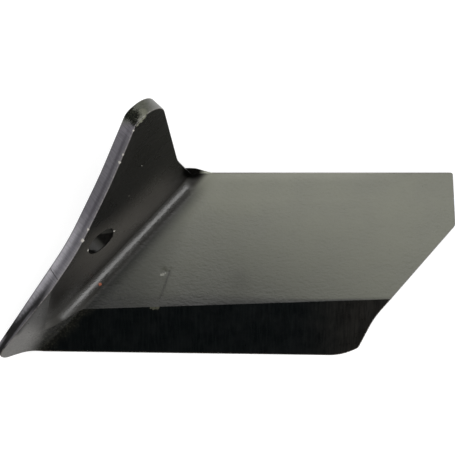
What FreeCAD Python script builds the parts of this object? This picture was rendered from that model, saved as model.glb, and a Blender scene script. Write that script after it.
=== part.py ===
import FreeCAD, Part
import math
import os

from FreeCAD import Vector

# Knife coulter: one steel plate, cut to outline, ground on its cutting edge, then bent once along a
# slanted line so that a fin with a bolt hole stands up from the blade. Millimetres, Z up.
# The blade lies on its back face, X runs along its top edge, the cutting edge faces -Y.

NODE = "knife_coulter"

# plate and bend
PLATE = 10.0             # thickness of the plate
BEND_ANGLE = 70.0        # how far the fin is turned up out of the blade's plane, degrees
BEND_RADIUS = 11.0       # inside radius
BEND_SLANT = 46.5        # bend line to the blade's top edge, degrees

# blade: distances from the point where the bend starts on the top edge, x away from the fin
# and y down towards the cutting edge
BLADE_LENGTH = 157.2     # to the top corner of the far end
BLADE_WIDTH = 120.6      # top edge to the cutting edge at the toe
EDGE_FALL = 0.81         # the cutting edge falls away towards the toe, degrees
END_LEAN = 1.7           # the far end leans out by this much
END_HEIGHT = 34.7        # height of the far end, above the slanted nose
NOSE_BACK = 51.2         # here the slanted nose turns steeper: back from the far end
NOSE_UP = 25.3           # and up from the cutting edge
TOE_BACK = 61.4          # worn corner between nose and cutting edge
TOE_UP = 5.0
TOE_RUN = 10.7           # from there the worn edge runs back until it is straight
TOP_CORNER_R = 1.5
END_CORNER_R = 3.0
NOSE_R = 60.0
TOE_R = 4.0
TOE_END_R = 38.0

# ground bevel of the cutting edge
BEVEL_ANGLE = 14.5
BEVEL_WIDTH = 28.9       # from the cutting edge to where the grinding starts, near the bend
BEVEL_WIDTH_AT = 78.8    # that place, back from the start of the bend
BEVEL_RISE = 1.86        # the grinding gets wider towards the nose, degrees

# the grinding runs out over the bend into a shallower facet on the heel of the fin
HEEL_ANGLE = 8.6
FACET_LOW_U = -148.0     # where that facet starts at the bend
FACET_HIGH_U = -126.0    # and at the front edge
FACET_HIGH_V = 40.5

# fin: u along the bend line from the blade's top edge, v up the fin from the apex of the bend
FIN_HEIGHT = 122.1       # front corner of the tip
FIN_BACK_U = -10.6       # back edge, at right angles to the bend
FIN_WAIST_V = 37.0       # there the back edge starts to lean out
FIN_TIP_U = 8.0          # back corner of the tip
FIN_TIP_DROP = 4.7       # and how far it lies below the front corner
FIN_NECK_U = -11.6       # front corner of the tip
FIN_SHOULDER_U = -51.5   # the front edge turns a little flatter here
FIN_SHOULDER_V = 86.5
FIN_KNEE_U = -95.8       # and much flatter here
FIN_KNEE_V = 53.2
FRONT_SLOPE = 22.2       # lower front edge to the bend line, degrees
WAIST_R = 40.0
TIP_R = 14.0
NECK_R = 7.5
SHOULDER_R = 300.0
KNEE_R = 125.0
HEEL_R = 8.5

# crotch between blade and fin: the top edge swells a little where it enters the bend
SWELL_START = -1.5
SWELL_X = -10.3
SWELL_Y = 1.73
SWELL_START_R = 30.0
SWELL_R = 6.0
CROTCH_S = 13.7          # the concave corner lies this far into the bend
CROTCH_R = 2.5

# punched hole for an M20 bolt
HOLE = 21.0              # diameter
HOLE_U = -81.3
HOLE_V = 37.0

STATIONS = 25            # sections used to build the bend
REACH = 3 * (BLADE_LENGTH + FIN_HEIGHT)   # longer than anything in the part


def rad(degrees):
    return math.radians(degrees)


UP = Vector(0, 0, 1)
ALONG = Vector(math.cos(rad(BEND_SLANT)), math.sin(rad(BEND_SLANT)), 0)
ACROSS = Vector(-math.sin(rad(BEND_SLANT)), math.cos(rad(BEND_SLANT)), 0)
OUTER_R = BEND_RADIUS + PLATE
NEUTRAL_R = BEND_RADIUS + PLATE / 2.0
ALLOWANCE = NEUTRAL_R * rad(BEND_ANGLE)                  # flat length taken up by the bend
SETBACK = BEND_RADIUS * math.tan(rad(BEND_ANGLE) / 2.0)  # apex to the end of the bend


def flat(u, s, t=0.0):
    """Point of the flat pattern: u along the bend, s across it, t up through the plate."""
    return ALONG * u + ACROSS * s + UP * t


def fin_point(u, v):
    """Flat pattern point of a fin point given along and up the bent fin."""
    return flat(u, ALLOWANCE + v - SETBACK)


def bent(u, s, t):
    """Where a point inside the bend zone goes once the plate is bent."""
    a = s / NEUTRAL_R
    r = OUTER_R - t
    return ALONG * u + ACROSS * (r * math.sin(a)) + UP * (OUTER_R - r * math.cos(a))


def raise_fin(shape):
    """Carries a shape of the flat pattern beyond the bend into its bent place."""
    shape = shape.copy()
    shape.translate(ACROSS * -ALLOWANCE)
    shape.rotate(Vector(0, 0, 0), ALONG, BEND_ANGLE)
    b = rad(BEND_ANGLE)
    shape.translate(ACROSS * (OUTER_R * math.sin(b)) + UP * (OUTER_R * (1 - math.cos(b))))
    return shape


def meet(p, d, q, e):
    """Crossing of two lines in the XY plane."""
    k = ((q.x - p.x) * e.y - (q.y - p.y) * e.x) / (d.x * e.y - d.y * e.x)
    return p + d * k


def rounded_face(corners):
    """Planar face from (point, radius) corners."""
    n = len(corners)
    ends = []
    for i, (c, r) in enumerate(corners):
        a = (corners[i - 1][0] - c).normalize()
        b = (corners[(i + 1) % n][0] - c).normalize()
        half = a.getAngle(b) / 2.0
        reach = r / math.tan(half)
        axis = (a + b).normalize()
        mid = c + axis * (r / math.sin(half) - r)
        ends.append((c + a * reach, mid, c + b * reach))
    edges = []
    for i, (start, mid, end) in enumerate(ends):
        edges.append(Part.Arc(start, mid, end).toShape())
        edges.append(Part.makeLine(end, ends[(i + 1) % n][0]))
    return Part.Face(Part.Wire(edges))


# flat pattern
cut_dir = Vector(math.cos(rad(EDGE_FALL)), -math.sin(rad(EDGE_FALL)), 0)
toe = Vector(BLADE_LENGTH - TOE_BACK, TOE_UP - BLADE_WIDTH, 0)
toe_end = Vector(toe.x - TOE_RUN, -BLADE_WIDTH, 0)
nose = Vector(BLADE_LENGTH - NOSE_BACK, NOSE_UP - BLADE_WIDTH, 0)
front_dir = ALONG * math.cos(rad(FRONT_SLOPE)) + ACROSS * math.sin(rad(FRONT_SLOPE))
knee = fin_point(FIN_KNEE_U, FIN_KNEE_V)
heel = meet(toe_end, cut_dir, knee, front_dir)

outline = rounded_face([
    (Vector(BLADE_LENGTH, 0, 0), TOP_CORNER_R),
    (Vector(SWELL_START, 0, 0), SWELL_START_R),
    (Vector(SWELL_X, SWELL_Y, 0), SWELL_R),
    (flat(FIN_BACK_U, CROTCH_S), CROTCH_R),
    (fin_point(FIN_BACK_U, FIN_WAIST_V), WAIST_R),
    (fin_point(FIN_TIP_U, FIN_HEIGHT - FIN_TIP_DROP), TIP_R),
    (fin_point(FIN_NECK_U, FIN_HEIGHT), NECK_R),
    (fin_point(FIN_SHOULDER_U, FIN_SHOULDER_V), SHOULDER_R),
    (knee, KNEE_R),
    (heel, HEEL_R),
    (toe_end, TOE_END_R),
    (toe, TOE_R),
    (nose, NOSE_R),
    (Vector(BLADE_LENGTH + END_LEAN, -END_HEIGHT, 0), END_CORNER_R),
])
blank = outline.extrude(UP * PLATE)


def ground(p, q, degrees):
    """Wedge that takes everything above a plane falling away to the right of the line p, q."""
    run = (q - p).normalize()
    out = Vector(run.y, -run.x, 0)
    slope = math.tan(rad(degrees))
    near = p - run * REACH - out * (2 * PLATE) + UP * PLATE
    wide = BLADE_WIDTH
    return Part.Face(Part.makePolygon([
        near + UP * (2 * PLATE * slope), near + out * wide + UP * ((2 * PLATE - wide) * slope),
        near + out * wide + UP * (2 * PLATE * slope), near + UP * (2 * PLATE * slope),
    ])).extrude(run * (2 * REACH))


def left_over(p, q, degrees, at):
    """Thickness that such grinding leaves at a point."""
    run = (q - p).normalize()
    return PLATE - max(0.0, (at - p).dot(Vector(run.y, -run.x, 0))) * math.tan(rad(degrees))


def half_space(s0, s1):
    corners = [flat(-REACH, s0, -PLATE), flat(REACH, s0, -PLATE),
               flat(REACH, s1, -PLATE), flat(-REACH, s1, -PLATE)]
    return Part.Face(Part.makePolygon(corners + corners[:1])).extrude(UP * (3 * PLATE))


# the two ground planes, each given by the line it starts from
edge_here = meet(toe_end, cut_dir, Vector(-BEVEL_WIDTH_AT, 0, 0), Vector(0, 1, 0))
bevel_p = edge_here + Vector(0, BEVEL_WIDTH, 0)
bevel_q = bevel_p + Vector(math.cos(rad(BEVEL_RISE)), math.sin(rad(BEVEL_RISE)), 0)
facet_p, facet_q = fin_point(FACET_HIGH_U, FACET_HIGH_V), flat(FACET_LOW_U, ALLOWANCE)

blade = blank.common(half_space(-REACH, 0)).cut(ground(bevel_p, bevel_q, BEVEL_ANGLE))
fin = blank.common(half_space(ALLOWANCE, REACH)).cut(ground(facet_p, facet_q, HEEL_ANGLE))
fin = raise_fin(fin)


def station(s):
    """Five-sided section of the bend, from the cutting edge to the crotch; one ground plane
    passes into the other."""
    line = Part.makeLine(flat(-REACH, s), flat(REACH, s))
    us = sorted(v.Point.dot(ALONG) for v in outline.common(line).Vertexes)
    low, top = us[0], us[-1]
    here = flat(low, s)
    k = s / ALLOWANCE
    k = k * k * (3 - 2 * k)
    edge = ((1 - k) * left_over(bevel_p, bevel_q, BEVEL_ANGLE, here)
            + k * left_over(facet_p, facet_q, HEEL_ANGLE, here))
    start = ((1 - k) * meet(bevel_p, bevel_q - bevel_p, flat(0, s), ALONG).dot(ALONG)
             + k * meet(facet_p, facet_q - facet_p, flat(0, s), ALONG).dot(ALONG))
    return [bent(low, s, 0), bent(low, s, edge), bent(start, s, PLATE),
            bent(top, s, PLATE), bent(top, s, 0)]


# bend: five rails through the sections, with ruled faces between them
sections = [station(ALLOWANCE * i / (STATIONS - 1)) for i in range(STATIONS)]
knots = [float(i) for i in range(STATIONS)]
rails = []
for k in range(5):
    curve = Part.BSplineCurve()
    curve.interpolate(Points=[section[k] for section in sections], Parameters=knots)
    rails.append(curve.toShape())
sides = [Part.makeRuledSurface(rails[k], rails[(k + 1) % 5]) for k in range(5)]
ends = [Part.Face(Part.makePolygon(section + section[:1])) for section in (sections[0], sections[-1])]
bend_shell = Part.makeShell(sides + ends)
bend_shell.sewShape()
bend = Part.Solid(bend_shell)
if bend.Volume < 0:
    bend.reverse()

body = blade.fuse([bend, fin]).removeSplitter()

# bolt hole
hole_at = fin_point(HOLE_U, HOLE_V)
punch = raise_fin(Part.makeCylinder(HOLE / 2.0, PLATE * 3, hole_at - UP * PLATE, UP))
body = body.cut(punch)

if len(body.Solids) != 1 or not body.isValid():
    raise RuntimeError("the coulter is not one valid solid")
body = body.Solids[0]

# origin under the middle of the box the coulter fills
box = body.optimalBoundingBox(False, False)
body.translate(Vector(-(box.XMin + box.XMax) / 2.0, -(box.YMin + box.YMax) / 2.0, -box.ZMin))

os.makedirs("parts", exist_ok=True)
body.exportStep("parts/" + NODE + ".step")
print(NODE, "size %.1f x %.1f x %.1f" % (box.XLength, box.YLength, box.ZLength),
      "volume %.0f" % body.Volume, "shift %.3f %.3f" % (-(box.XMin + box.XMax) / 2.0,
      -(box.YMin + box.YMax) / 2.0), "faces", len(body.Faces))
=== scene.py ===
import math

import bmesh
import bpy
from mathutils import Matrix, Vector


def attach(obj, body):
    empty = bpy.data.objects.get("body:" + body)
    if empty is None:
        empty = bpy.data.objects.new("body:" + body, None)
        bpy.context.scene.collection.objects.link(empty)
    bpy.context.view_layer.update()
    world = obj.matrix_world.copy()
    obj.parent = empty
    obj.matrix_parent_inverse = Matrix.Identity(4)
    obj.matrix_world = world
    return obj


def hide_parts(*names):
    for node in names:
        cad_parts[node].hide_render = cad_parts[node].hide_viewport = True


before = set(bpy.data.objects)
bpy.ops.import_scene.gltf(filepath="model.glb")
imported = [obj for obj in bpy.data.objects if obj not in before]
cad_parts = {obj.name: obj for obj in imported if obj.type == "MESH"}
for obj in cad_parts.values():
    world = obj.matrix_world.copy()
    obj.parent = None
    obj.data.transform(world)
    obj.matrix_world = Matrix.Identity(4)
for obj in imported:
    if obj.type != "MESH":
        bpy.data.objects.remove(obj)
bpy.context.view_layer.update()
scene = bpy.context.scene
scene.view_settings.view_transform = "Standard"


# View. The coulter lies on its flat back and is looked at from straight above, with the fin on the
# left, as it would lie on a bench. Sizes are metres, +X along the blade's top edge.

camera_data = bpy.data.cameras.new("bench_camera")
camera_data.lens = 134.5
camera_data.sensor_width = 36.0
camera = bpy.data.objects.new("bench_camera", camera_data)
camera.location = (0.00045, 0.00386, 1.1247)
scene.collection.objects.link(camera)
scene.camera = camera


# Bench top. A plain pale board under the coulter. It shows white to the eye and in the gloss of the
# paint, and keeps the soft shadow round the steel.


def nodes_of(material):
    material.use_nodes = True
    tree = material.node_tree
    tree.nodes.clear()
    return tree


def add(tree, kind, inputs=None, **settings):
    """One node, with its settings, and its inputs set or joined."""
    node = tree.nodes.new(kind)
    for name, value in settings.items():
        setattr(node, name, value)
    for name, value in (inputs or {}).items():
        if isinstance(value, bpy.types.NodeSocket):
            tree.links.new(value, node.inputs[name])
        else:
            node.inputs[name].default_value = value
    return node


bench_paint = bpy.data.materials.new("bench_board")
tree = nodes_of(bench_paint)
ray = add(tree, "ShaderNodeLightPath")
seen = add(tree, "ShaderNodeMath", {0: ray.outputs["Is Camera Ray"], 1: ray.outputs["Is Glossy Ray"]},
           operation="MAXIMUM")
glow_level = add(tree, "ShaderNodeMath", {0: seen.outputs[0], 1: 0.62}, operation="MULTIPLY")
board = add(tree, "ShaderNodeBsdfDiffuse", {"Color": (0.55, 0.55, 0.55, 1.0)})
glow = add(tree, "ShaderNodeEmission", {"Color": (1.0, 1.0, 1.0, 1.0), "Strength": glow_level.outputs[0]})
both = add(tree, "ShaderNodeAddShader", {0: board.outputs[0], 1: glow.outputs[0]})
add(tree, "ShaderNodeOutputMaterial", {"Surface": both.outputs[0]})

bm = bmesh.new()
bmesh.ops.create_grid(bm, x_segments=1, y_segments=1, size=1.7)
bmesh.ops.translate(bm, verts=bm.verts, vec=(0.0, 0.0, -0.0003))
bench_mesh = bpy.data.meshes.new("bench")
bm.to_mesh(bench_mesh)
bm.free()
bench = bpy.data.objects.new("bench", bench_mesh)
bench_mesh.materials.append(bench_paint)
scene.collection.objects.link(bench)


# Light. A wide soft box hangs over the bench, a second one stands up and to the left behind the fin,
# and two long low ones stand at the left and at the lower right corner. Between them it is dim.

world = bpy.data.worlds.new("room")
scene.world = world
world.use_nodes = True
tree = world.node_tree
tree.nodes.clear()
ray = add(tree, "ShaderNodeLightPath")
level = add(tree, "ShaderNodeMapRange",
            {"Value": ray.outputs["Is Camera Ray"], "To Min": 0.12, "To Max": 1.0})
room = add(tree, "ShaderNodeBackground", {"Color": (1.0, 1.0, 1.0, 1.0), "Strength": level.outputs[0]})
add(tree, "ShaderNodeOutputWorld", {"Surface": room.outputs[0]})


def soft_box(name, place, aim, width, height, brightness):
    """A rectangular soft box; brightness 1 looks as bright as white paper."""
    data = bpy.data.lights.new(name, "AREA")
    data.shape = "RECTANGLE"
    data.size = width
    data.size_y = height
    data.energy = brightness * math.pi * width * height
    lamp = bpy.data.objects.new(name, data)
    lamp.location = place
    lamp.rotation_euler = (Vector(aim) - Vector(place)).to_track_quat("-Z", "Y").to_euler()
    scene.collection.objects.link(lamp)


soft_box("overhead_box", (0.15, 0.24, 1.6), (0.15, 0.24, 0.0), 1.35, 1.0, 3.1)
soft_box("back_left_box", (-0.75, 0.85, 1.05), (0.0, 0.0, 0.0), 0.9, 0.9, 3.2)
soft_box("low_right_box", (0.95, -0.95, 0.70), (0.0, 0.0, 0.05), 1.1, 0.70, 7.0)
soft_box("low_left_box", (-1.2, 0.05, 0.65), (0.0, 0.0, 0.05), 1.2, 0.5, 1.5)


# Coulter steel. One 10 mm plate, cut to outline, ground along its cutting edge, punched for a bolt
# and bent up hot. Its flats are made whole again, dented where the real blade is, and its corners
# are eased as a grinder and the paint leave them.

MM = 0.001
ACROSS = Vector((-0.72537, 0.68835, 0.0))        # over the blade towards the fin, square to the bend
ALONG = Vector((0.68835, 0.72537, 0.0))          # along the bend, towards the blade's top edge
FIN_FACE = Vector((0.68163, -0.64684, 0.34202))  # square to the fin, towards the blade
UP_FIN = Vector((-0.24809, 0.23543, 0.93969))
BEND_START = Vector((-8.946, 39.926, 10.0)) * MM
FIN_FOOT = BEND_START + ACROSS * 7.7 * MM        # the blade's and the fin's flats would meet here
HOLE_MIDDLE = Vector((-83.084, -1.800, 43.059)) * MM
CROTCH = Vector((-23.0, 41.5, 14.0)) * MM         # where the fin's front edge runs down into the bend

PAINTED, GROUND, CUT, FIN, SOOTY = range(5)


def surface_of(face):
    """Which of the coulter's surfaces a face belongs to."""
    middle = face.calc_center_median()
    normal = face.normal
    on_blade = (middle - BEND_START).dot(ACROSS) < 0.0
    on_fin = (middle - FIN_FOOT).dot(UP_FIN) > 8.0 * MM and middle.z > 12.0 * MM
    if on_blade and abs(normal.z) < 0.5:
        return CUT
    if on_blade:
        return GROUND if normal.y < -0.1 and normal.z > 0.0 else PAINTED
    in_hole = (middle - HOLE_MIDDLE).length < 13.0 * MM and abs(normal.dot(FIN_FACE)) < 0.5
    if on_fin and abs(normal.dot(FIN_FACE)) < 0.5:
        return SOOTY if in_hole else CUT
    if not on_fin and normal.dot(ALONG) > 0.6:
        return SOOTY
    if not on_fin and normal.dot(ALONG) < -0.6:
        return CUT
    if abs(normal.dot(FIN_FACE)) > 0.995:
        return FIN
    return GROUND if normal.dot(ALONG) < -0.03 and normal.z > 0.0 else PAINTED


bm = bmesh.new()
bm.from_mesh(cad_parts["knife_coulter"].data)
bmesh.ops.remove_doubles(bm, verts=bm.verts, dist=0.001 * MM)
bmesh.ops.dissolve_limit(bm, angle_limit=math.radians(0.2), verts=bm.verts, edges=bm.edges)
for face in bm.faces:
    face.material_index = surface_of(face)


def cut_faces(faces, point, direction):
    """Splits the faces along a plane and gives all of them back."""
    edges = {edge for face in faces for edge in face.edges}
    verts = {vert for face in faces for vert in face.verts}
    around = list(faces) + list(edges) + list(verts)
    split = bmesh.ops.bisect_plane(bm, geom=around, plane_co=point, plane_no=direction, dist=0.001 * MM)
    return [part for part in split["geom"] if isinstance(part, bmesh.types.BMFace)]


# dent and scrape beside the bend, and the burr where the scrape meets the ground edge
dent_faces = [max((f for f in bm.faces if f.normal.z > 0.99), key=lambda f: f.calc_area())]
for side in (-54.5, -30.5):
    dent_faces = cut_faces(dent_faces, (side * MM, 0.0, 0.0), (1.0, 0.0, 0.0))
dent_faces = cut_faces(dent_faces, (0.0, -14.4 * MM, 0.0), (0.0, 1.0, 0.0))
dent_faces = [f for f in dent_faces if -54.5 * MM < f.calc_center_median().x < -30.5 * MM
              and f.calc_center_median().y < -14.4 * MM]
for step in range(1, 30):
    dent_faces = cut_faces(dent_faces, ((-54.5 + 0.8 * step) * MM, 0.0, 0.0), (1.0, 0.0, 0.0))
for step in range(1, 44):
    dent_faces = cut_faces(dent_faces, (0.0, (-14.4 - 0.8 * step) * MM, 0.0), (0.0, 1.0, 0.0))


def hump(distance, width):
    return math.exp(-(distance / width) ** 2)


DENT = Vector((-40.9, -24.8))
SCRAPE_TOP, SCRAPE_END = Vector((-36.5, -21.9)), Vector((-45.0, -46.4))
BURR = Vector((-47.3, -48.0))
scrape = SCRAPE_END - SCRAPE_TOP
for vert in {v for f in dent_faces for v in f.verts}:
    spot = Vector((vert.co.x, vert.co.y)) / MM
    off = spot - DENT
    lengthwise, sideways = off.dot(Vector((0.5, 0.87))), off.dot(Vector((0.87, -0.5)))
    dent = -0.55 * hump(lengthwise, 1.9) * hump(sideways, 2.6)
    dent += 0.16 * hump(lengthwise + 3.0, 1.3) * hump(sideways, 2.8)
    part = (spot - SCRAPE_TOP).dot(scrape) / scrape.length_squared
    beside = (spot - SCRAPE_TOP).cross(scrape) / scrape.length
    line = max(0.0, 1.0 - abs(2.0 * part - 1.0)) ** 0.5 if 0.0 < part < 1.0 else 0.0
    lip = (-0.34 * hump(beside, 0.8) + 0.18 * hump(beside - 1.6, 1.1)) * line
    burr = 0.3 * hump((spot - BURR).length, 1.7)
    vert.co.z += (dent + lip + burr) * MM * min(1.0, max(0.0, (-14.4 - spot.y) / 2.0))

# every corner is eased, and the eased strips are kept in a layer, for the paint to wear thin there
wear = bm.loops.layers.float_color.new("wear")
for face in bm.faces:
    for corner in face.loops:
        corner[wear] = (0.0, 0.0, 0.0, 1.0)


def ease(edges, size, steps):
    eased = bmesh.ops.bevel(bm, geom=edges, offset=size * MM, offset_type="OFFSET", segments=steps,
                            profile=0.5, affect="EDGES", material=-1, clamp_overlap=False)
    for face in eased["faces"]:
        middle = face.calc_center_median()
        if (middle - HOLE_MIDDLE).length > 13.5 * MM and (middle - CROTCH).length > 13.0 * MM:
            for corner in face.loops:
                corner[wear] = (1.0, 1.0, 1.0, 1.0)


ease([e for e in bm.edges if e.calc_face_angle(0.0) > math.radians(50.0)], 0.6, 3)
for face in bm.faces:
    face.smooth = True
for edge in bm.edges:       # the grinding starts from a crisp line
    kinds = {face.material_index for face in edge.link_faces}
    turn = math.degrees(edge.calc_face_angle(0.0))
    if GROUND in kinds and len(kinds) == 2 and 4.0 < turn < 25.0:
        edge.smooth = False

coulter_mesh = bpy.data.meshes.new("coulter")
bm.to_mesh(coulter_mesh)
bm.free()
coulter = bpy.data.objects.new("coulter", coulter_mesh)
scene.collection.objects.link(coulter)
flats = coulter.modifiers.new("even_flats", "WEIGHTED_NORMAL")
flats.mode = "FACE_AREA"
flats.weight = 100
flats.keep_sharp = True


# Paint on the flats. Black, semi-gloss, with the rolled steel's unevenness and an orange peel of its
# own. An olive grey painted reflection lies over the open face of the blade; the fin stays black.


def value_of(tree, operation, a, b=0.0, c=0.0):
    return add(tree, "ShaderNodeMath", {0: a, 1: b, 2: c}, operation=operation).outputs[0]


def times(tree, a, b):
    return value_of(tree, "MULTIPLY", a, b)


def plus(tree, a, b):
    return value_of(tree, "ADD", a, b)


def less(tree, a, b):
    return value_of(tree, "SUBTRACT", a, b)


def axes_of(tree, where):
    return add(tree, "ShaderNodeSeparateXYZ", {0: where}).outputs


def away_from(tree, where, point):
    """Distance in mm from a point."""
    return add(tree, "ShaderNodeVectorMath", {0: where, 1: tuple(point)},
               operation="DISTANCE").outputs["Value"]


def shifted(tree, where, point):
    """The place as seen from a point."""
    return add(tree, "ShaderNodeVectorMath", {0: where, 1: tuple(point)}, operation="SUBTRACT").outputs[0]


def worn_of(tree):
    """1 on the eased corners, 0 elsewhere."""
    return add(tree, "ShaderNodeAttribute", attribute_name="wear").outputs["Fac"]


def dot_of(tree, where, direction):
    return add(tree, "ShaderNodeVectorMath", {0: where, 1: tuple(direction)},
               operation="DOT_PRODUCT").outputs["Value"]


def fade(tree, value, start, end, low=0.0, high=1.0, shape="SMOOTHSTEP"):
    """Goes from low, where the value is start, to high, where it is end."""
    return add(tree, "ShaderNodeMapRange", {"Value": value, "From Min": start, "From Max": end,
               "To Min": low, "To Max": high}, interpolation_type=shape).outputs[0]


def blend_of(tree, factor, a, b, way="MIX"):
    ends = [c if isinstance(c, bpy.types.NodeSocket) else tuple(c) + (1.0,) for c in (a, b)]
    return add(tree, "ShaderNodeMix", {0: factor, 6: ends[0], 7: ends[1]}, data_type="RGBA",
               blend_type=way).outputs[2]


def grain(tree, where, stretch, size, detail=2.0, harshness=0.5):
    """Noise about size mm across, drawn out along each axis by stretch."""
    drawn = add(tree, "ShaderNodeVectorMath", {0: where, 1: tuple(1.0 / (size * s) for s in stretch)},
                operation="MULTIPLY").outputs[0]
    return add(tree, "ShaderNodeTexNoise", {"Vector": drawn, "Scale": 1.0, "Detail": detail,
               "Roughness": harshness}).outputs["Fac"]


def spots_of(tree, where, spots, broken):
    """1 inside each spot of (x, y, z, radius) in mm, with a broken rim."""
    worst = None
    for x, y, z, radius in spots:
        away = away_from(tree, where, (x, y, z))
        ragged = value_of(tree, "MULTIPLY_ADD", broken, 1.6 * radius, away)
        spot = fade(tree, ragged, 1.95 * radius, 1.55 * radius)
        worst = spot if worst is None else value_of(tree, "MAXIMUM", worst, spot)
    return worst


def start_finish(name):
    """A new material, its nodes, and the place on the coulter in mm."""
    material = bpy.data.materials.new(name)
    tree = nodes_of(material)
    place = add(tree, "ShaderNodeTexCoord").outputs["Object"]
    where = add(tree, "ShaderNodeVectorMath", {0: place, "Scale": 1000.0}, operation="SCALE").outputs[0]
    return material, tree, where


def end_finish(tree, colour, roughness, gloss, heights, metal=0.0):
    """Joins colour, roughness and a list of (height, depth in mm) to the shader."""
    normal = None
    for height, depth in heights:
        inputs = {"Height": height, "Strength": 1.0, "Distance": depth * MM}
        if normal is not None:
            inputs["Normal"] = normal
        normal = add(tree, "ShaderNodeBump", inputs).outputs[0]
    shader = add(tree, "ShaderNodeBsdfPrincipled", {
        "Base Color": colour, "Roughness": roughness, "Metallic": metal, "Specular IOR Level": gloss,
        "Normal": normal})
    add(tree, "ShaderNodeOutputMaterial", {"Surface": shader.outputs[0]})


def heel_of(tree, where, mottle, specks, start, dim, pale):
    """Where the grey heel starts, 0 to 1, and its colour, which goes from dim to pale at the end."""
    axes = axes_of(tree, where)
    below = value_of(tree, "MINIMUM", plus(tree, axes["Y"], 58.0), 0.0)
    side = value_of(tree, "MULTIPLY_ADD", below, -0.54, axes["X"])
    side = value_of(tree, "MULTIPLY_ADD", mottle, 4.0, side)
    grey = blend_of(tree, fade(tree, axes["Y"], -54.0, -66.0), dim, pale)
    dusted = blend_of(tree, fade(tree, specks, 0.35, 0.65), (0.86, 0.86, 0.86), (1.14, 1.14, 1.14))
    return fade(tree, side, start, start - 11.0), blend_of(tree, 1.0, grey, dusted, "MULTIPLY")


HEEL_EDGE = Vector((-0.789, 0.614, 0.0))         # out over the heel's edge, seen from above


def torn_lip(tree, where, specks, colour):
    """The strip beside the heel's outer edge, which is torn and black."""
    height = axes_of(tree, where)["Y"]
    lip = value_of(tree, "MULTIPLY_ADD", specks, 0.8, dot_of(tree, where, HEEL_EDGE))
    zone = times(tree, fade(tree, height, -38.0, -44.0), fade(tree, height, -68.0, -63.0))
    dark = times(tree, zone, fade(tree, lip, 65.1, 66.9, shape="LINEAR"))
    return blend_of(tree, dark, colour, (0.005, 0.0047, 0.005))


CHIPS = ((-55.1, 60.9, 120.5, 0.8), (-62.0, 47.2, 108.3, 0.9), (-64.3, 42.6, 104.1, 1.1),
         (-85.8, 2.4, 71.0, 0.9), (-89.8, -4.6, 65.7, 1.4), (-87.3, -10.3, 50.0, 1.25),
         (-71.9, 1.3, 41.2, 0.8), (-52.2, 41.7, 78.4, 0.35), (-61.1, 23.6, 61.9, 0.35))
DENT_HIGHLIGHTS = ((-42.8, -27.3, 10.0, 0.8), (-41.6, -26.7, 10.0, 0.9), (-40.4, -26.1, 10.0, 0.7))
RUSTED = ((-83.2, -33.2, 10.4, 1.1),)
OLIVE_PATCH = ((-50.6, 66.6, 122.3, 1.7), (-48.6, 68.7, 122.5, 1.6), (-52.6, 64.4, 121.8, 1.1))
SMUDGE = (8.6, -30.6, 10.0)
BARE = (0.46, 0.44, 0.40)
RUST = (0.23, 0.067, 0.032)

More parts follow.
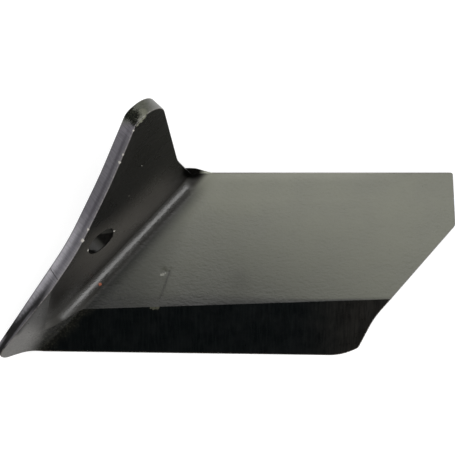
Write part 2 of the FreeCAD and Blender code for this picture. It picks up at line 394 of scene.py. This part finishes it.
def black_paint(name, gloss, on_fin):
    material, tree, where = start_finish(name)
    axes = axes_of(tree, where)
    across = less(tree, dot_of(tree, where, ACROSS), BEND_START.dot(ACROSS) / MM)
    along = dot_of(tree, where, ALONG)
    mottle = grain(tree, where, (1.4, 1.0, 1.0), 24.0, 4.0, 0.55)
    peel = grain(tree, where, (1.7, 1.0, 1.0), 1.6, 2.0, 0.55)
    pits = grain(tree, where, (1.0, 1.0, 1.0), 0.9, 1.0)
    depth = less(tree, FIN_FOOT.dot(FIN_FACE) / MM, dot_of(tree, where, FIN_FACE))
    upper_side = fade(tree, axes["Z"], 4.0, 9.0)
    if on_fin:      # inside is the side that the fin and the blade turn to each other
        inside = fade(tree, depth, 6.0, 4.0)
    else:
        above_axis = value_of(tree, "POWER", plus(tree, axes["Z"], -21.0), 2.0)
        from_axis = value_of(tree, "SQRT", plus(tree, value_of(tree, "POWER", across, 2.0), above_axis))
        inside = fade(tree, from_axis, 17.0, 15.0)

    # the open face of the blade, clear of the fin's shade, and the painted reflection on it
    reach = fade(tree, along, 20.0, -90.0, 7.0, 50.0)
    outward = value_of(tree, "DIVIDE", across, reach)
    clear = less(tree, fade(tree, along, -5.0, -70.0, 1.2, -1.8, "LINEAR"), across)
    shade_width = fade(tree, along, -10.0, -60.0, 12.0, 35.0, "LINEAR")
    far_out = value_of(tree, "DIVIDE", clear, shade_width)
    open_face = plus(tree, fade(tree, clear, 0.0, 8.0, 0.0, 0.5, "LINEAR"),
                     fade(tree, far_out, 0.0, 1.0, 0.0, 0.5, "LINEAR"))
    open_face = value_of(tree, "MULTIPLY_ADD", less(tree, 1.0, open_face),
                         fade(tree, along, -4.0, 22.0), open_face)
    open_face = times(tree, open_face, times(tree, upper_side, fade(tree, across, 5.0, 0.0)))
    # painted reflection of the lamps: olive grey, darkest at the far left, lighter towards the right and
    # the top, brightest in a strip along the top edge
    painted_sheen = blend_of(tree, fade(tree, axes["X"], 8.0, 130.0, shape="LINEAR"), (0.037, 0.038, 0.028),
                    (0.115, 0.117, 0.091))
    painted_sheen = blend_of(tree, fade(tree, axes["X"], -60.0, -35.0), (0.026, 0.027, 0.019), painted_sheen)
    upper_painted_sheen = blend_of(tree, fade(tree, axes["X"], 8.0, -22.0), (0.151, 0.154, 0.120),
                          (0.168, 0.171, 0.134))
    painted_sheen = blend_of(tree, fade(tree, axes["Y"], -43.0, 22.0, shape="LINEAR"), painted_sheen, upper_painted_sheen)
    from_smudge = away_from(tree, where, SMUDGE)
    painted_sheen = blend_of(tree, fade(tree, from_smudge, 10.0, 2.0, 0.0, 0.3), painted_sheen, (0.030, 0.030, 0.022))
    top_edge_sheen = times(tree, fade(tree, axes["Y"], 32.5, 38.5), fade(tree, axes["X"], 125.0, 75.0))
    painted_sheen = blend_of(tree, top_edge_sheen, painted_sheen, (0.185, 0.188, 0.149))
    dimmer = blend_of(tree, 1.0, painted_sheen, (0.84, 0.84, 0.84), "MULTIPLY")
    painted_sheen = blend_of(tree, fade(tree, mottle, 0.3, 0.7), dimmer, painted_sheen)

    # the fin: black, with painted light beside the bend and at its foot towards the heel, grey at the
    # heel
    mottled = fade(tree, mottle, 0.35, 0.65)
    fin_black = blend_of(tree, mottled, (0.0008, 0.0006, 0.0003), (0.0026, 0.0023, 0.0018))
    up = less(tree, dot_of(tree, where, UP_FIN), FIN_FOOT.dot(UP_FIN) / MM)
    below_top = fade(tree, plus(tree, up, fade(tree, along, -36.0, -62.0, 0.0, -12.0)), 59.0, 24.0)
    above_foot = fade(tree, plus(tree, up, fade(tree, along, -42.0, -18.0, 0.0, 7.0)), -5.0, 24.0)
    near_bend = times(tree, times(tree, below_top, above_foot), fade(tree, along, 12.0, -12.0))
    near_bend = times(tree, near_bend, fade(tree, along, -108.0, -58.0, 0.16, 1.0))
    lit = blend_of(tree, fade(tree, along, -12.0, -40.0), (0.031, 0.0285, 0.0245),
                   (0.0435, 0.0402, 0.035))
    fin_black = blend_of(tree, near_bend, fin_black, lit)
    # painted light: the fin's foot and the bend grow greyer towards the heel, and the bend's black is
    # painted as a dark grey
    foot_light = times(tree, fade(tree, up, 26.0, 8.0), fade(tree, along, -84.0, -104.0))
    foot_light = times(tree, foot_light, inside)
    if on_fin:
        fin_black = blend_of(tree, foot_light, fin_black, (0.031, 0.030, 0.028))
    else:
        fin_black = blend_of(tree, foot_light, (0.018, 0.0172, 0.0148), (0.036, 0.035, 0.032))
    at_heel, heel_grey = heel_of(tree, where, mottle, peel, -107.5, (0.056, 0.055, 0.052),
                                 (0.12, 0.117, 0.11))
    at_heel = times(tree, at_heel, fade(tree, axes["Z"], 9.0, 13.0))
    fin_black = blend_of(tree, times(tree, at_heel, fade(tree, depth, 3.0, 0.5)), fin_black, heel_grey)
    if on_fin:
        fin_black = blend_of(tree, inside, fin_black, torn_lip(tree, where, peel, fin_black))

    # the blade: black beside the fin, painted shade above the ground edge, painted reflection between
    # them
    beside_fin = blend_of(tree, mottled, (0.0020, 0.0026, 0.0006), (0.0046, 0.0052, 0.0020))
    colour = blend_of(tree, times(tree, upper_side, fade(tree, across, 0.5, -1.5)), fin_black, beside_fin)
    # painted shade: just above the ground edge the painted reflection fades to black, in a strip widest
    # at the left
    above_edge = plus(tree, dot_of(tree, where, (-0.0325, 1.0, 0.0)), 46.4)
    ridge_shade_width = fade(tree, axes["X"], -20.0, 60.0, 8.3, 1.8, "LINEAR")
    above_edge = value_of(tree, "DIVIDE", above_edge, ridge_shade_width)
    least = plus(tree, fade(tree, axes["X"], -20.0, -60.0, 0.05, 0.4),
                 fade(tree, axes["X"], 72.0, 105.0, 0.0, 0.55))
    clear_of_ridge_shade = fade(tree, above_edge, 0.0, 1.0, least, 1.0, "LINEAR")
    colour = blend_of(tree, open_face, colour, blend_of(tree, clear_of_ridge_shade, (0.002, 0.002, 0.0012), painted_sheen))

    # painted shade in the crotch, the scrape, pits and the corners worn thin
    squeezed = add(tree, "ShaderNodeVectorMath", {0: where, 1: (0.75, 1.0, 0.0)},
                   operation="MULTIPLY").outputs[0]
    from_crotch = away_from(tree, squeezed, (-16.9, 40.4, 0.0))
    # painted shade: near black round the crotch, where the fin's front edge runs down into the bend
    crotch_shade = fade(tree, value_of(tree, "MULTIPLY_ADD", mottle, 2.0, from_crotch), 7.8, 4.2)
    colour = blend_of(tree, crotch_shade, colour, (0.0008, 0.0008, 0.0006))
    from_scrape = shifted(tree, where, (SCRAPE_TOP.x, SCRAPE_TOP.y, 10.0))
    run = scrape / scrape.length
    down_scrape = dot_of(tree, from_scrape, (run.x, run.y, 0.0))
    off_scrape = dot_of(tree, from_scrape, (run.y, -run.x, 0.0))
    off_scrape = value_of(tree, "MULTIPLY_ADD", pits, 0.8, off_scrape)
    scraped = times(tree, fade(tree, off_scrape, -0.5, 0.2), fade(tree, off_scrape, 1.4, 0.5))
    scraped = times(tree, scraped, fade(tree, down_scrape, 1.0, 4.0, 0.0, 0.8))
    scraped = times(tree, scraped, fade(tree, down_scrape, scrape.length, scrape.length - 3.0))
    scraped = times(tree, scraped, fade(tree, axes["Z"], 9.0, 9.5))
    colour = blend_of(tree, scraped, colour, (0.012, 0.012, 0.008))
    colour = blend_of(tree, fade(tree, pits, 0.72, 0.8, 0.0, 0.5), colour, (0.006, 0.006, 0.005))
    edge = times(tree, worn_of(tree), fade(tree, crotch_shade, 0.0, 1.0, 1.0, 0.0))
    thin_paint = times(tree, edge, fade(tree, mottle, 0.35, 0.65, 0.1, 0.55))
    colour = blend_of(tree, thin_paint, colour, (0.11, 0.10, 0.085))
    if on_fin:
        # worn paint and a painted highlight along the fin's outer front edge
        outer_edge_wear_and_highlight = times(tree, edge, fade(tree, axes["X"], -54.0, -60.0))
        outer_edge_wear_and_highlight = times(tree, outer_edge_wear_and_highlight, fade(tree, axes["Y"], -28.0, -20.0))
        outer_edge_wear_and_highlight = times(tree, outer_edge_wear_and_highlight, fade(tree, peel, 0.35, 0.6, 0.25, 0.9))
        colour = blend_of(tree, outer_edge_wear_and_highlight, colour, (0.15, 0.143, 0.148))
        colour = blend_of(tree, spots_of(tree, where, OLIVE_PATCH, peel), colour, (0.165, 0.167, 0.128))
    else:
        top_edge = times(tree, edge, fade(tree, axes["Y"], 37.5, 39.0))
        top_edge = times(tree, top_edge, fade(tree, axes["X"], 15.0, 35.0))
        top_edge = times(tree, top_edge, fade(tree, axes["X"], 112.0, 95.0))
        colour = blend_of(tree, times(tree, top_edge, 0.8), colour, (0.30, 0.305, 0.25))
    sooty = grain(tree, where, (1.0, 1.0, 1.0), 1.2, 2.0, 0.6)
    sooty_corner = times(tree, fade(tree, outward, -0.75, -0.25), fade(tree, along, -62.0, -88.0))
    sooty_corner = times(tree, sooty_corner, fade(tree, across, 1.0, -2.0))
    sooty_corner = times(tree, sooty_corner, fade(tree, sooty, 0.42, 0.6))
    colour = blend_of(tree, sooty_corner, colour, (0.005, 0.005, 0.004))
    # painted highlight on the dent's lower wall
    dent_highlight = spots_of(tree, where, DENT_HIGHLIGHTS, pits)
    colour = blend_of(tree, times(tree, dent_highlight, 0.55), colour, (0.30, 0.30, 0.26))
    rust = spots_of(tree, where, RUSTED, pits)
    colour = blend_of(tree, rust, colour, RUST)
    bare = spots_of(tree, where, CHIPS, pits)
    colour = blend_of(tree, bare, colour, BARE)

    # gloss: duller on the open face and in the bend's ends, and the plate swells a little beside the bend
    beside_bend = times(tree, fade(tree, outward, -1.0, -0.1), fade(tree, across, 2.0, -1.0))
    beside_bend = times(tree, upper_side, beside_bend)
    roughness = fade(tree, mottle, 0.3, 0.7, 0.25, 0.34)
    roughness = value_of(tree, "MULTIPLY_ADD", open_face, 0.10, roughness)
    roughness = value_of(tree, "MULTIPLY_ADD", beside_bend, 0.14, roughness)
    lift = value_of(tree, "MAXIMUM", plus(tree, value_of(tree, "MINIMUM", outward, 0.0), 1.0), 0.0)
    lift = times(tree, times(tree, value_of(tree, "POWER", lift, 2.0), reach), 0.06)
    into_bend = value_of(tree, "MINIMUM", value_of(tree, "MAXIMUM", across, 0.0), 5.0)
    eased_in = less(tree, into_bend, times(tree, value_of(tree, "POWER", into_bend, 2.0), 0.1))
    lift = plus(tree, lift, times(tree, 0.12, eased_in))
    dull_end = times(tree, fade(tree, along, 3.0, 9.0), fade(tree, across, 0.5, 3.5))
    dull_end = times(tree, dull_end, fade(tree, axes["Z"], 30.0, 22.0))
    roughness = value_of(tree, "MULTIPLY_ADD", dull_end, 0.6, roughness)
    soft_peel = times(tree, peel, fade(tree, outward, 0.0, -1.0, 0.45, 1.0))
    shine = gloss if on_fin else fade(tree, up, 3.4, 6.4, gloss, 0.05)
    shade = times(tree, fade(tree, across, 3.5, 0.5), fade(tree, open_face, 0.5, 0.0))
    shade = times(tree, shade, fade(tree, along, -8.0, -35.0, 0.0, 0.28))
    shine = times(tree, shine, less(tree, 1.0, times(tree, shade, upper_side)))
    dulled = times(tree, inside, fade(tree, along, -93.0, -106.0, 0.0, 0.35))
    shine = times(tree, shine, less(tree, 1.0, dulled))
    bend_end = times(tree, fade(tree, along, -112.0, -119.0), fade(tree, up, 16.0, 10.0))
    bend_end = times(tree, bend_end, inside)
    shine = times(tree, shine, fade(tree, bend_end, 0.0, 1.0, 1.0, 0.15))
    roughness = value_of(tree, "MULTIPLY_ADD", bend_end, 0.35, roughness)
    shine = times(tree, shine, fade(tree, crotch_shade, 0.0, 1.0, 1.0, 0.1))
    end_finish(tree, colour, roughness, shine, ((lift, 1.0), (mottle, 0.5), (soft_peel, 0.26)))
    return material


painted = black_paint("black_paint", 0.40, False)
fin_painted = black_paint("black_paint_on_fin", 0.15, True)


# Ground edge. The bevel and the facet that runs out of it over the bend on to the heel, ground across
# and painted over: dead black along the blade, brown and speckled in the bend, grey on the heel.

ground, tree, where = start_finish("ground_edge")
axes = axes_of(tree, where)
across = less(tree, dot_of(tree, where, ACROSS), BEND_START.dot(ACROSS) / MM)
streaks = grain(tree, where, (1.0, 14.0, 14.0), 0.9, 2.0, 0.6)
mottle = grain(tree, where, (1.0, 1.0, 1.0), 9.0, 4.0, 0.6)
specks = grain(tree, where, (1.0, 1.0, 1.0), 1.1, 3.0, 0.7)
black = blend_of(tree, fade(tree, streaks, 0.4, 0.7), (0.0002, 0.0008, 0.0010), (0.0018, 0.0028, 0.0028))
nose = value_of(tree, "MULTIPLY_ADD", mottle, 30.0, axes["X"])
dusty = blend_of(tree, fade(tree, streaks, 0.35, 0.65), (0.0036, 0.0034, 0.0029),
                 (0.0085, 0.0079, 0.0066))
colour = blend_of(tree, fade(tree, nose, 60.0, 105.0), black, dusty)
MISSED = ((-45.4, -48.6, 9.8, 1.3), (-47.8, -49.0, 9.8, 1.3), (-49.9, -48.8, 9.9, 0.8))
missed = spots_of(tree, where, MISSED, specks)
colour = blend_of(tree, missed, colour, (0.05, 0.05, 0.036))
turned = value_of(tree, "MULTIPLY_ADD", mottle, 14.0, across)
speckled = blend_of(tree, fade(tree, specks, 0.5, 0.66), (0.004, 0.004, 0.003), (0.026, 0.026, 0.019))
colour = blend_of(tree, fade(tree, turned, 0.0, 9.0), colour, speckled)
upper = blend_of(tree, fade(tree, mottle, 0.35, 0.65), (0.012, 0.0115, 0.010), (0.018, 0.017, 0.015))
colour = blend_of(tree, fade(tree, turned, 17.0, 22.0), colour, upper)
at_heel, heel_grey = heel_of(tree, where, mottle, specks, -110.5, (0.036, 0.035, 0.033),
                             (0.108, 0.105, 0.099))
colour = blend_of(tree, at_heel, colour, heel_grey)
colour = torn_lip(tree, where, specks, colour)
edge = worn_of(tree)
colour = blend_of(tree, times(tree, edge, fade(tree, specks, 0.4, 0.6, 0.1, 0.7)), colour,
                  (0.10, 0.08, 0.06))
end_finish(tree, colour, fade(tree, mottle, 0.3, 0.7, 0.26, 0.36), 0.125,
           ((mottle, 0.25), (streaks, 0.012)))


# Cut edges. Sheared and dressed across the plate, then painted thin, with fine marks running from face to
# face.
# Their violet grey is partly thin paint and partly painted reflection, lighter lower down the fin's front
# edge;
# olive painted reflection round the tip with a painted highlight at its top right, and painted shade near
# the heel.

BEIGE_PATCH = ((-49.6, 71.4, 122.6, 3.0), (-50.8, 67.6, 122.2, 2.4))
SCORCHED = ((-58.4, 72.0, 120.2, 6.0), (-55.0, 69.8, 121.4, 5.6), (-54.0, 66.4, 121.6, 3.8))
CRACK_AT, CRACK_SIDE = (-109.0, -25.9, 50.3), (0.645, 0.597, 0.472)
cut, tree, where = start_finish("cut_edge")
axes = axes_of(tree, where)
edgewise = add(tree, "ShaderNodeCombineXYZ", {
    0: dot_of(tree, where, ALONG), 1: dot_of(tree, where, UP_FIN),
    2: dot_of(tree, where, FIN_FACE)}).outputs[0]
marks = grain(tree, edgewise, (1.0, 1.0, 12.0), 0.8, 3.0, 0.65)
mottle = grain(tree, where, (1.0, 1.0, 1.0), 8.0, 4.0, 0.6)
specks = grain(tree, where, (1.0, 1.0, 1.0), 1.4, 2.0, 0.6)
# partly thin paint and partly painted reflection: violet grey with the marks
colour = blend_of(tree, fade(tree, marks, 0.36, 0.64), (0.068, 0.062, 0.076), (0.165, 0.155, 0.176))
# painted reflection round the tip: olive, with a pale painted highlight towards its top right
olive = blend_of(tree, fade(tree, specks, 0.35, 0.65), (0.066, 0.068, 0.053), (0.104, 0.107, 0.086))
olive = blend_of(tree, fade(tree, axes["X"], -49.0, -39.0), olive, (0.20, 0.20, 0.185))
depth = less(tree, FIN_FOOT.dot(FIN_FACE) / MM, dot_of(tree, where, FIN_FACE))
ragged = value_of(tree, "MULTIPLY_ADD", specks, 2.0, plus(tree, depth, -1.0))
lower = fade(tree, axes["Y"], 16.0, -4.0)
lowest = fade(tree, axes["Y"], -26.0, -40.0)
# partly the cut's shear and tear, partly painted reflection: lighter lower down the front edge, darker at
# its bottom
outer = blend_of(tree, lower, (0.098, 0.092, 0.106), (0.300, 0.290, 0.315))
outer = blend_of(tree, fade(tree, axes["Y"], -30.0, -42.0), outer, (0.225, 0.217, 0.236))
torn = blend_of(tree, lower, (0.038, 0.034, 0.044), (0.088, 0.083, 0.096))
torn = blend_of(tree, lowest, torn, (0.022, 0.020, 0.024))
inner = blend_of(tree, lower, (0.098, 0.093, 0.104), (0.150, 0.144, 0.156))
inner = blend_of(tree, lowest, inner, (0.090, 0.085, 0.092))
outer_part = blend_of(tree, lower, fade(tree, ragged, 3.2, 5.6), fade(tree, ragged, 3.6, 8.2))
across_band = blend_of(tree, outer_part, blend_of(tree, fade(tree, ragged, 3.4, 0.6), torn, inner), outer)
marked = blend_of(tree, fade(tree, marks, 0.3, 0.7), (0.76, 0.76, 0.76), (1.24, 1.24, 1.24))
across_band = blend_of(tree, 1.0, across_band, marked, "MULTIPLY")
rim = fade(tree, depth, 8.8, 9.6)
across_band = blend_of(tree, times(tree, rim, 0.7), across_band, (0.03, 0.028, 0.034))
on_band = times(tree, fade(tree, axes["X"], -44.0, -48.0), fade(tree, axes["Y"], 66.0, 52.0, 0.35, 1.0))
colour = blend_of(tree, on_band, colour, across_band)
round_tip = times(tree, fade(tree, axes["Y"], 62.0, 69.0), fade(tree, axes["Z"], 100.0, 112.0))
colour = blend_of(tree, round_tip, colour, olive)
# painted shade: the cut edges turn near black towards the heel, less so at the very end of the front edge
shade_height = plus(tree, value_of(tree, "MULTIPLY_ADD", specks, 8.0, axes["Y"]),
             fade(tree, depth, 2.6, 8.6, 0.0, 13.5))
shade_height = plus(tree, shade_height, fade(tree, depth, 3.5, 0.0, 0.0, 9.0))
heel_end_shade = fade(tree, shade_height, -23.0, -44.0)
at_end = times(tree, fade(tree, axes["Y"], -64.0, -70.0), fade(tree, depth, 7.2, 9.4, 0.0, 0.7))
heel_end_shade = times(tree, heel_end_shade, less(tree, 1.0, at_end))
colour = blend_of(tree, heel_end_shade, colour, (0.004, 0.0037, 0.004))
beige = spots_of(tree, where, BEIGE_PATCH, specks)
colour = blend_of(tree, times(tree, beige, 0.65), colour, (0.165, 0.167, 0.125))
soot = grain(tree, where, (1.0, 1.0, 1.0), 0.75, 3.0, 0.75)
lip = value_of(tree, "MULTIPLY_ADD", specks, 0.8, dot_of(tree, where, HEEL_EDGE))
strip = times(tree, fade(tree, lip, 69.3, 68.3), fade(tree, axes["Y"], -44.0, -54.0))
strip = times(tree, strip, fade(tree, axes["Y"], -74.0, -71.0, 0.0, 0.75))
colour = blend_of(tree, strip, colour, (0.10, 0.096, 0.104))
scorch = None
for x, y, z, reach in SCORCHED:
    away = value_of(tree, "MULTIPLY_ADD", soot, 1.5 * reach, away_from(tree, where, (x, y, z)))
    spot = fade(tree, away, 1.85 * reach, 1.2 * reach)
    scorch = spot if scorch is None else value_of(tree, "MAXIMUM", scorch, spot)
scorched = blend_of(tree, fade(tree, soot, 0.50, 0.62), (0.0012, 0.0018, 0.0008), (0.036, 0.039, 0.025))
colour = blend_of(tree, scorch, colour, scorched)
# painted shade: near black round the crotch
crotch_shade = fade(tree, away_from(tree, where, CROTCH / MM), 15.0, 10.0)
colour = blend_of(tree, crotch_shade, colour, (0.003, 0.003, 0.0026))
crack_line = plus(tree, dot_of(tree, shifted(tree, where, CRACK_AT), CRACK_SIDE), -0.4)
crack_line = value_of(tree, "ABSOLUTE", value_of(tree, "MULTIPLY_ADD", specks, 0.8, crack_line))
colour = blend_of(tree, fade(tree, crack_line, 0.40, 0.15), colour, (0.008, 0.006, 0.008))
edge = times(tree, worn_of(tree), fade(tree, heel_end_shade, 0.0, 1.0, 1.0, 0.35))
edge = times(tree, edge, fade(tree, depth, 8.4, 9.2, 1.0, 0.25))
edge = times(tree, edge, fade(tree, crotch_shade, 0.0, 1.0, 1.0, 0.0))
colour = blend_of(tree, times(tree, edge, fade(tree, specks, 0.4, 0.6, 0.15, 0.7)), colour,
                  (0.24, 0.225, 0.22))
bare = spots_of(tree, where, CHIPS, specks)
colour = blend_of(tree, bare, colour, BARE)
dull = value_of(tree, "MAXIMUM", scorch, crotch_shade)
darkened_parts = value_of(tree, "MAXIMUM", heel_end_shade, dull)
roughness = value_of(tree, "MULTIPLY_ADD", darkened_parts, 0.3, fade(tree, marks, 0.3, 0.7, 0.34, 0.46))
shine = times(tree, fade(tree, heel_end_shade, 0.0, 1.0, 0.5, 0.22), fade(tree, dull, 0.0, 1.0, 1.0, 0.22))
end_finish(tree, colour, roughness, shine, ((mottle, 0.25), (marks, 0.05)))


# Inside of the hole and the top end of the bend, which the spray hardly reached: dull and sooty, with
# painted light on the hole's lit walls, and pale where the bend's end meets the blade.

sooty, tree, where = start_finish("sooty_steel")
specks = grain(tree, where, (1.0, 1.0, 1.0), 1.2, 3.0, 0.6)
colour = blend_of(tree, fade(tree, specks, 0.35, 0.65), (0.0022, 0.0022, 0.0020),
                  (0.0075, 0.0072, 0.0062))
depth = less(tree, FIN_FOOT.dot(FIN_FACE) / MM, dot_of(tree, where, FIN_FACE))
beside = less(tree, dot_of(tree, where, ALONG), HOLE_MIDDLE.dot(ALONG) / MM)
to_middle = away_from(tree, where, HOLE_MIDDLE / MM)
broken = value_of(tree, "MULTIPLY_ADD", specks, 1.0, beside)
# painted light: the hole's lower-left wall and a strip at its far right are painted lit grey
near_left = times(tree, fade(tree, broken, 0.6, -1.8), fade(tree, depth, 0.3, 1.4))
left_end = plus(tree, broken, fade(tree, depth, 2.2, 4.6, 0.0, 2.8))
near_left = times(tree, near_left, fade(tree, left_end, -7.8, -5.8))
slanted = value_of(tree, "MULTIPLY_ADD", broken, 1.13, depth)
far_right = times(tree, fade(tree, slanted, 11.2, 12.4), fade(tree, broken, 10.4, 9.6))
painted_wall_light = times(tree, value_of(tree, "MAXIMUM", near_left, far_right), fade(tree, to_middle, 15.0, 14.0))
lit_wall = blend_of(tree, fade(tree, beside, -1.5, -6.0), (0.036, 0.036, 0.032), (0.074, 0.073, 0.071))
colour = blend_of(tree, painted_wall_light, colour, lit_wall)
blade_end = fade(tree, axes_of(tree, where)["X"], -18.5, -12.5)
colour = blend_of(tree, blade_end, colour, (0.50, 0.51, 0.42))
edge = worn_of(tree)
colour = blend_of(tree, times(tree, edge, fade(tree, specks, 0.5, 0.65, 0.02, 0.25)), colour,
                  (0.05, 0.047, 0.04))
bare = spots_of(tree, where, CHIPS, specks)
colour = blend_of(tree, bare, colour, BARE)
shine = fade(tree, axes_of(tree, where)["X"], -60.0, -45.0, 0.05, 0.0)
end_finish(tree, colour, fade(tree, specks, 0.3, 0.7, 0.6, 0.8), shine, ((specks, 0.12),))

for finish in (painted, ground, cut, fin_painted, sooty):
    coulter_mesh.materials.append(finish)

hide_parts("knife_coulter")
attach(coulter, "root")
